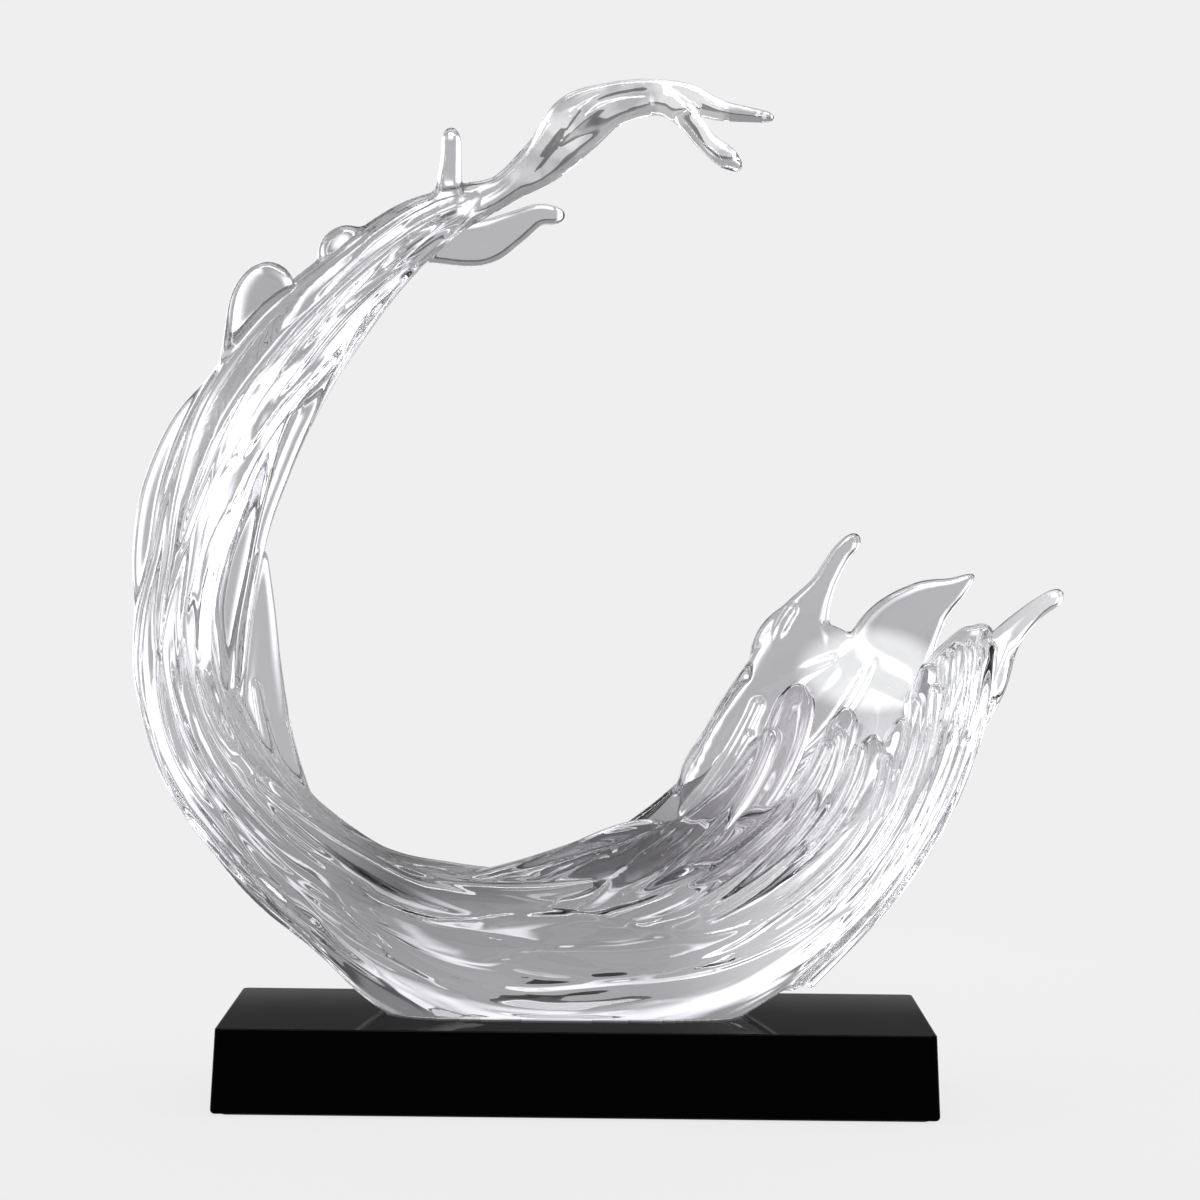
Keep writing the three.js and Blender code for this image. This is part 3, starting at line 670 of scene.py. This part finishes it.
def water():
    """The whole wave as one closed mesh."""
    field = Field(FIELD_LOW, FIELD_HIGH, VOXEL)
    crescent_bundle().pour(field, FILLET)
    front = Stream(FRONT_WALL, SHEET_SQUARENESS)
    front.add_ridges(
        number=34, seed=7, length=(60, 200), width=(2.5, 6), height=(12, 24), drift=0.4, sector=(0.6, 2.7)
    )
    front.pour(field, FILLET)
    lip = Stream(FRONT_LIP, SHEET_SQUARENESS)
    lip.add_ridges(
        number=16, seed=11, length=(30, 80), width=(4, 9), height=(7, 12), drift=0.5, sector=(0.4, 2.9)
    )
    lip.pour(field, FILLET)
    for row in TROUGH_LEAVES:
        offshoot(row, RIPPLE_WIDTHS, LEAF_SQUARENESS).pour(field, NARROW_FILLET)
    for row in FRONT_LEAVES:
        offshoot(row, LEAF_WIDTHS, LEAF_SQUARENESS).pour(field, WIDE_FILLET)
    for row in FRONT_STRANDS:
        offshoot(row, STRAND_WIDTHS, STRAND_SQUARENESS).pour(field, NARROW_FILLET)
    back = Stream(BACK_WALL, SHEET_SQUARENESS)
    back.add_ridges(number=14, seed=6, length=(60, 140), width=(10, 18), height=(6, 12), drift=0.5)
    back.pour(field, WIDE_FILLET)
    Stream(CREST_LEAF, BLADE_SQUARENESS).pour(field, FILLET)
    fins_and_edges = (OUTER_FIN, COLUMN_LEAF, COLUMN_EDGE, FAN_EDGE, INNER_FIN, FIN_LEAF)
    for stations in (SHOULDER_LOBE, *fins_and_edges, WALL_FINGER, WALL_WING, WALL_LOBE):
        Stream(stations, SHEET_SQUARENESS).pour(field, FILLET)
    for row in WALL_STRANDS:
        offshoot(row, STRAND_WIDTHS, STRAND_SQUARENESS).pour(field, NARROW_FILLET)
    crest_arm().pour(field, FILLET)
    for stations in (CREST_DRIP, CREST_SPOUT, SHOULDER_KNOB, RIM_FINGER, RIM_BUMP):
        Stream(stations, FINGER_SQUARENESS).pour(field, WIDE_FILLET)
    field.cut_below(FOOT_GAP)
    field.soften()
    return field.mesh("wave")


# Shaders


class Socket:
    """A shader node's output that takes part in arithmetic."""

    def __init__(self, tree, output):
        self.tree = tree
        self.output = output

    def __add__(self, other):
        return maths(self.tree, "ADD", self, other)

    def __radd__(self, other):
        return maths(self.tree, "ADD", other, self)

    def __sub__(self, other):
        return maths(self.tree, "SUBTRACT", self, other)

    def __rsub__(self, other):
        return maths(self.tree, "SUBTRACT", other, self)

    def __mul__(self, other):
        return maths(self.tree, "MULTIPLY", self, other)

    def __rmul__(self, other):
        return maths(self.tree, "MULTIPLY", other, self)

    def __truediv__(self, other):
        return maths(self.tree, "DIVIDE", self, other)

    def __rtruediv__(self, other):
        return maths(self.tree, "DIVIDE", other, self)


def make_node(tree, kind, settings=None, out=0, places=None, **inputs):
    """A new node's output. Its settings and a ramp's stops are set first, and then its sockets: those in
    places by number, and the others by name, with _ for a space."""
    made = tree.nodes.new("ShaderNode" + kind)
    for key, value in (settings or {}).items():
        if key == "stops":
            for stop, colour in zip(made.color_ramp.elements, value):
                stop.color = colour
        else:
            setattr(made, key, value)
    named = {key.replace("_", " "): value for key, value in inputs.items()}
    for key, value in {**(places or {}), **named}.items():
        if isinstance(value, Socket):
            tree.links.new(value.output, made.inputs[key])
        else:
            made.inputs[key].default_value = value
    return Socket(tree, made.outputs[out] if made.outputs else None)


def maths(tree, operation, *values):
    return make_node(tree, "Math", {"operation": operation}, places=dict(enumerate(values)))


def step_up(value, low, high, start=0.0, end=1.0):
    """A smooth step from start, where the value is low, to end, where it is high."""
    return make_node(
        value.tree,
        "MapRange",
        {"interpolation_type": "SMOOTHSTEP"},
        Value=value,
        From_Min=low,
        From_Max=high,
        To_Min=start,
        To_Max=end,
    )


def blend_colours(share, first, second):
    # The Mix node's colours are its sockets 6 and 7, and the blend of them is its output 2.
    places = {0: share, 6: first, 7: second}
    return make_node(share.tree, "Mix", {"data_type": "RGBA"}, out=2, places=places)


def mix_shaders(share, first, second):
    return make_node(share.tree, "MixShader", places={0: share, 1: first, 2: second})


def new_material(name):
    material = bpy.data.materials.new(name)
    material.use_nodes = True
    material.node_tree.nodes.clear()
    return material, material.node_tree


def put_out(shader):
    make_node(shader.tree, "OutputMaterial", places={0: shader})


def dress(node, material):
    node.data.materials.clear()
    node.data.materials.append(material)


# Clear resin: the two tints that it varies between, the pale tint of its painted highlights, the painted
# shade that it darkens to where it is seen edge on, and how much less it does so under the painted
# highlights.
RESIN_TINTS = ((0.475, 0.466, 0.485, 1), (0.575, 0.566, 0.585, 1))
PAINTED_HIGHLIGHT_TINT = (0.97, 0.975, 0.985, 1)
PAINTED_EDGE_SHADE = (0.1, 0.1, 0.105, 1)
RESIN_IOR = 1.5
RESIN_ROUGHNESS = 0.01
CLOUD_SCALE = 9.0
EDGE_RANGE = (0.55, 0.95)
LESS_EDGE_SHADE_IN_HIGHLIGHTS = 0.6
# Where painted shade and painted light change the tint: ranges in metres along the wave, toward its back,
# and up from the plinth's top.
FAN_ALONG = (0.03, 0.11)
FAN_BACK = (-0.02, -0.005)
TROUGH_HEIGHT = (0.085, 0.13)
RIM_HEIGHT = (0.05, 0.066)
RIM_LEFT = (-0.13, -0.08)
RIM_RIGHT = (-0.04, 0.0)
SHOULDER_HEIGHT = (0.26, 0.33)
SHOULDER_RIGHT = (-0.09, -0.07)
FOOT_HEIGHT = (0.012, 0.045)
# How much painted shade darkens the tint there, and how much painted light makes it paler.
TROUGH_PAINTED_SHADE = 0.36
RIM_PAINTED_SHADE = 0.4
SHOULDER_PAINTED_SHADE = 0.15
FOOT_PAINTED_LIGHT = 0.15
FAN_PAINTED_LIGHT = 0.7
# Painted highlights in the fan's front, whose edge leans, and a painted glow in a patch of the fan.
FRONT_HIGHLIGHT_ALONG = (0.075, 0.11)
FRONT_HIGHLIGHT_LEAN = 0.2
FRONT_HIGHLIGHT_BACK = (-0.01, 0.005)
PAINTED_GLOW_MIDDLE = (0.146, 0.17)
PAINTED_GLOW_REACH = (0.034, 0.02)
PAINTED_GLOW_RANGE = (0.5, 1.4)
# Painted highlights: pale patches on the crest's arm.
ARM_HEIGHT = (0.385, 0.405)
ARM_LEFT = (-0.05, -0.03)
ARM_HIGHLIGHT_SCALE = 38.0
ARM_HIGHLIGHT_RANGE = (0.51, 0.59)
ARM_HIGHLIGHT_SHARE = 0.85


def resin():
    """Clear resin with a grey tint, darker by painted shade in the trough and at edges, paler by painted
    light in the fan and on the arm.
    """
    material, tree = new_material("clear_resin")
    place = make_node(tree, "TexCoord", out="Object")
    along = make_node(tree, "SeparateXYZ", out="X", Vector=place)
    back = make_node(tree, "SeparateXYZ", out="Y", Vector=place)
    height = make_node(tree, "SeparateXYZ", out="Z", Vector=place) - PLINTH_TOP

    fan = step_up(along, *FAN_ALONG)
    trough = (1 - step_up(height, *TROUGH_HEIGHT)) * (1 - fan)
    rim = step_up(height, *RIM_HEIGHT) * trough
    rim = rim * step_up(along, *RIM_LEFT) * (1 - step_up(along, *RIM_RIGHT))
    shoulder = step_up(height, *SHOULDER_HEIGHT) * (1 - step_up(along, *SHOULDER_RIGHT))
    foot = 1 - step_up(height, *FOOT_HEIGHT)
    fan_front = fan * (1 - step_up(back, *FAN_BACK))
    # Painted shade: the tint is darker in the trough, at its rim and at the shoulder.
    light = 1 - TROUGH_PAINTED_SHADE * trough - RIM_PAINTED_SHADE * rim - SHOULDER_PAINTED_SHADE * shoulder
    # Painted light: the tint is paler at the foot and in the fan's front.
    light = light + FOOT_PAINTED_LIGHT * foot + FAN_PAINTED_LIGHT * fan_front
    cloud = make_node(tree, "TexNoise", Vector=place, Scale=CLOUD_SCALE, Detail=2.0)
    tint = make_node(tree, "ValToRGB", {"stops": RESIN_TINTS}, Fac=cloud)
    tint = make_node(tree, "VectorMath", {"operation": "SCALE"}, Vector=tint, Scale=light)

    # Painted highlight: a pale stretch across the fan's front, with a leaning edge.
    front_highlight = step_up(along - FRONT_HIGHLIGHT_LEAN * height, *FRONT_HIGHLIGHT_ALONG) * (1 - step_up(back, *FRONT_HIGHLIGHT_BACK))
    # Painted glow: a pale round patch in the fan.
    sideways = (along - PAINTED_GLOW_MIDDLE[0]) / PAINTED_GLOW_REACH[0]
    upward = (height - PAINTED_GLOW_MIDDLE[1]) / PAINTED_GLOW_REACH[1]
    painted_glow = 1 - step_up(sideways * sideways + upward * upward, *PAINTED_GLOW_RANGE)
    # Painted highlights: pale spots on the crest's arm.
    highlight_spots = make_node(tree, "TexNoise", Vector=place, Scale=ARM_HIGHLIGHT_SCALE, Detail=1.0)
    arm = step_up(height, *ARM_HEIGHT) * step_up(along, *ARM_LEFT)
    arm_highlights = ARM_HIGHLIGHT_SHARE * arm * step_up(highlight_spots, *ARM_HIGHLIGHT_RANGE)
    # Where the painted highlights and painted glow turn the tint pale.
    pale = maths(tree, "MAXIMUM", maths(tree, "MAXIMUM", front_highlight, painted_glow), arm_highlights)
    tint = blend_colours(pale, tint, PAINTED_HIGHLIGHT_TINT)

    # Painted shade: the tint darkens where the surface is seen edge on, less so under the painted highlights.
    facing = make_node(tree, "LayerWeight", out="Facing", Blend=0.5)
    edge = step_up(facing, *EDGE_RANGE) * (1 - LESS_EDGE_SHADE_IN_HIGHLIGHTS * pale)
    shader = make_node(
        tree,
        "BsdfPrincipled",
        Base_Color=blend_colours(edge, tint, PAINTED_EDGE_SHADE),
        Roughness=RESIN_ROUGHNESS,
        IOR=RESIN_IOR,
        Transmission_Weight=1.0,
    )
    put_out(shader)
    return material


def sanded_resin_with_painted_glow():
    """The wave's sanded sole. Lamps don't reach it through the resin, so it is lit by a painted glow of its
    own.
    """
    material, tree = new_material("sanded_resin_with_painted_glow")
    place = make_node(tree, "TexCoord", out="Object")
    grain = make_node(tree, "TexNoise", Vector=place, Scale=900.0, Detail=3.0)
    stops = ((0.64, 0.64, 0.65, 1), (0.74, 0.74, 0.75, 1))
    shader = make_node(
        tree,
        "BsdfPrincipled",
        Base_Color=make_node(tree, "ValToRGB", {"stops": stops}, Fac=grain),
        Roughness=0.7 + 0.2 * grain,
        # Painted light: the sole's own glow stands in for light that the lamps don't bring.
        Emission_Color=(0.66, 0.65, 0.67, 1),
        Emission_Strength=1.0,
    )
    put_out(shader)
    return material


def dress_wave(node):
    """Clear resin all over, and sanded resin on the faces that lie on the plinth."""
    dress(node, resin())
    node.data.materials.append(sanded_resin_with_painted_glow())
    faces = node.data.polygons
    centres = np.empty(3 * len(faces), np.float32)
    faces.foreach_get("center", centres)
    sole = centres[2::3] < PLINTH_TOP + (FOOT_GAP + SANDED_HEIGHT) * MM
    faces.foreach_set("material_index", sole.astype(np.int32))


def lacquer():
    material, tree = new_material("black_lacquer")
    place = make_node(tree, "TexCoord", out="Object")
    cloud = make_node(tree, "TexNoise", Vector=place, Scale=30.0, Detail=3.0)
    shader = make_node(
        tree,
        "BsdfPrincipled",
        Base_Color=(0.0004, 0.0004, 0.0005, 1),
        Roughness=0.02 + 0.03 * cloud,
        Specular_IOR_Level=0.012,
    )
    put_out(shader)
    return material


def felt():
    material, tree = new_material("black_felt")
    place = make_node(tree, "TexCoord", out="Object")
    fibre = make_node(tree, "TexNoise", Vector=place, Scale=2500.0, Detail=4.0)
    stops = ((0.006, 0.006, 0.007, 1), (0.03, 0.03, 0.032, 1))
    shade = make_node(tree, "ValToRGB", {"stops": stops}, Fac=fibre)
    bump = make_node(tree, "Bump", Height=fibre, Strength=0.4, Distance=0.0005)
    put_out(make_node(tree, "BsdfPrincipled", Base_Color=shade, Roughness=0.95, Normal=bump))
    return material


def steel(name, dark, light):
    """Steel with fine turning marks."""
    material, tree = new_material(name)
    place = make_node(tree, "TexCoord", out="Object")
    stretch = make_node(tree, "Mapping", Vector=place, Scale=(200.0, 200.0, 3000.0))
    grain = make_node(tree, "TexNoise", Vector=stretch, Scale=1.0, Detail=3.0)
    shade = make_node(tree, "ValToRGB", {"stops": (dark, light)}, Fac=grain)
    put_out(make_node(tree, "BsdfPrincipled", Base_Color=shade, Metallic=1.0, Roughness=0.2 + 0.2 * grain))
    return material


# The object
wave = bpy.data.objects.new("wave", water())
bpy.context.scene.collection.objects.link(wave)
dress_wave(wave)
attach(wave, "root")
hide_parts("wave_casting")

dress(nodes["plinth"], lacquer())
dress(nodes["base_pad"], felt())
insert_steel = steel("insert_steel", (0.45, 0.46, 0.47, 1), (0.65, 0.66, 0.67, 1))
fixing_steel = steel("fixing_steel", (0.4, 0.41, 0.44, 1), (0.6, 0.61, 0.63, 1))
for name, node in nodes.items():
    if name.startswith("peg_insert"):
        dress(node, insert_steel)
    elif "washer" in name or "bolt" in name:
        dress(node, fixing_steel)

# The studio
scene = bpy.context.scene
scene.view_settings.view_transform = "Standard"

# The camera that fits the photograph's perspective: a long lens a little above the wave's middle.
CAMERA_PLACE = (0.007578, -1.445587, 0.301988)
CAMERA_PITCH = 0.0382
CAMERA_YAW = -0.0012
CAMERA_ROLL = 0.0108
CAMERA_LENS = 87.66
CAMERA_SENSOR = 36

# The backdrop's brightness, and that of the world above it: a darker band and then a paler sky. Heights are
# sines of the angle above the horizon.
BACKGROUND = 0.863
BAND = 0.22
BAND_START = (0.166, 0.176)
SKY_EXTRA = 0.33
SKY_START = (0.22, 0.3)

# The floor, which looks as bright as the backdrop and takes a faint shadow near the plinth.
FLOOR_RADIUS = 3.0
FLOOR_SIDES = 96
FLOOR_COLOUR = (0.6, 0.6, 0.6, 1)
SHADOW_REACH = (0.15, 0.8)
SHADOW_LEAST_GLOW = 0.9

# Lamps and cards: the name, the place, what it faces, the width, the height and the radiance. A card also has
# the share of its half size over which it fades, and whether it shows in gloss.
LAMP_COLOUR = (0.97, 0.985, 1.0)
MIDDLE = (0, 0, 0.25)
SOFTBOXES = [
    ("overhead", (0, 0.1, 1.9), (0, 0, 0.2), 1.6, 1.2, 3.0),
    ("left_box", (-1.5, -0.5, 0.9), MIDDLE, 0.7, 1.1, 4.0),
    ("right_box", (1.5, -0.3, 0.9), MIDDLE, 0.7, 1.1, 4.0),
]
STRIP_LAMPS = [
    ("left_strip", (-1.1, -1.3, 0.9), MIDDLE, 0.14, 1.2, 10.0),
    ("right_strip", (1.1, -1.3, 0.9), MIDDLE, 0.14, 1.2, 10.0),
    ("top_strip", (0.1, -0.8, 1.6), (0.1, 0, 0.3), 1.4, 0.4, 14.0),
]
GLOW_CARDS = [
    ("back_left", (-1.0, 1.2, 0.55), (-0.36, 0.432, 0.4), 1.5, 1.3, 2.6, 0.6, True),
    ("back_right", (1.0, 1.2, 0.55), (0.36, 0.432, 0.4), 1.5, 1.3, 3.6, 0.6, False),
    ("back_middle", (-0.1, 1.3, 0.24), (-0.1, 0, 0.24), 0.42, 0.5, 1.8, 0.7, False),
    ("fan_card", (0.23, 0.5, 0.085), (0.23, 0, 0.085), 0.17, 0.18, 2.0, 0.8, False),
]


def photo_camera():
    data = bpy.data.cameras.new("camera")
    data.lens = CAMERA_LENS
    data.sensor_width = CAMERA_SENSOR
    right = Vector((math.cos(CAMERA_YAW), math.sin(CAMERA_YAW), 0))
    ahead = Vector(
        (
            -math.sin(CAMERA_YAW) * math.cos(CAMERA_PITCH),
            math.cos(CAMERA_YAW) * math.cos(CAMERA_PITCH),
            -math.sin(CAMERA_PITCH),
        )
    )
    turn = Matrix((right, right.cross(ahead), -ahead)).transposed().to_4x4()
    camera = bpy.data.objects.new("camera", data)
    camera.matrix_world = Matrix.Translation(CAMERA_PLACE) @ turn @ Matrix.Rotation(CAMERA_ROLL, 4, "Z")
    scene.collection.objects.link(camera)
    scene.camera = camera


def softbox(name, place, aim, width, height, radiance):
    data = bpy.data.lights.new(name, "AREA")
    data.shape = "RECTANGLE"
    data.size = width
    data.size_y = height
    data.energy = radiance * math.pi * width * height
    data.color = LAMP_COLOUR
    lamp = bpy.data.objects.new(name, data)
    lamp.visible_camera = False
    lamp.location = place
    lamp.rotation_euler = (Vector(aim) - Vector(place)).to_track_quat("-Z", "Y").to_euler()
    scene.collection.objects.link(lamp)
    return lamp


def strip_lamp(*settings):
    """A narrow lamp that shows only as bright lines on gloss."""
    lamp = softbox(*settings)
    lamp.visible_diffuse = False
    lamp.visible_transmission = False


def glow_card(name, place, aim, width, height, radiance, fade, in_gloss):
    """A clear card that glows at its middle and fades to nothing at its edges, hidden from the camera."""
    half_width = width / 2
    half_height = height / 2
    corners = [
        (-half_width, -half_height, 0),
        (half_width, -half_height, 0),
        (half_width, half_height, 0),
        (-half_width, half_height, 0),
    ]
    mesh = bpy.data.meshes.new(name)
    mesh.from_pydata(corners, [], [(0, 1, 2, 3)])
    card = bpy.data.objects.new(name, mesh)
    card.location = place
    card.rotation_euler = (Vector(aim) - Vector(place)).to_track_quat("Z", "Y").to_euler()
    card.visible_camera = False
    card.visible_shadow = False
    card.visible_glossy = in_gloss
    scene.collection.objects.link(card)

    material, tree = new_material(name)
    corner = make_node(tree, "TexCoord", out="Object")

    def faded(axis, half):
        away = maths(tree, "ABSOLUTE", make_node(tree, "SeparateXYZ", out=axis, Vector=corner))
        return 1 - step_up(away, half * (1 - fade), half)

    light = make_node(tree, "Emission", Color=(*LAMP_COLOUR, 1), Strength=radiance)
    clear = make_node(tree, "BsdfTransparent")
    both = make_node(tree, "AddShader", places={0: light, 1: clear})
    put_out(mix_shaders(faded("X", half_width) * faded("Y", half_height), clear, both))
    dress(card, material)


def studio_world():
    world = bpy.data.worlds.new("studio")
    world.use_nodes = True
    tree = world.node_tree
    tree.nodes.clear()
    direction = make_node(tree, "TexCoord", out="Generated")
    height = make_node(tree, "SeparateXYZ", out="Z", Vector=direction)
    pale = step_up(height, *BAND_START, BACKGROUND, BAND)
    above = step_up(height, *SKY_START, 0.0, SKY_EXTRA)
    glow = make_node(tree, "Background", Color=pale + above)
    make_node(tree, "OutputWorld", places={0: glow})
    scene.world = world


def studio_floor():
    bpy.ops.mesh.primitive_circle_add(vertices=FLOOR_SIDES, radius=FLOOR_RADIUS, fill_type="NGON")
    floor = bpy.context.object
    floor.name = "floor"
    material, tree = new_material("floor")
    rays = ("Is Camera Ray", "Is Glossy Ray", "Is Transmission Ray")
    seen = maths(tree, "MINIMUM", sum(make_node(tree, "LightPath", out=ray) for ray in rays), 1.0)
    lit = make_node(tree, "BsdfDiffuse", Color=FLOOR_COLOUR)
    flat = make_node(tree, "Emission", Color=(BACKGROUND, BACKGROUND, BACKGROUND, 1))
    place = make_node(tree, "TexCoord", out="Object")
    away = make_node(tree, "VectorMath", {"operation": "LENGTH"}, out="Value", Vector=place)
    plain = step_up(away, *SHADOW_REACH, SHADOW_LEAST_GLOW, 1.0)
    put_out(mix_shaders(plain * seen, lit, flat))
    dress(floor, material)


photo_camera()
studio_world()
studio_floor()
for row in SOFTBOXES:
    softbox(*row)
for row in STRIP_LAMPS:
    strip_lamp(*row)
for row in GLOW_CARDS:
    glow_card(*row)
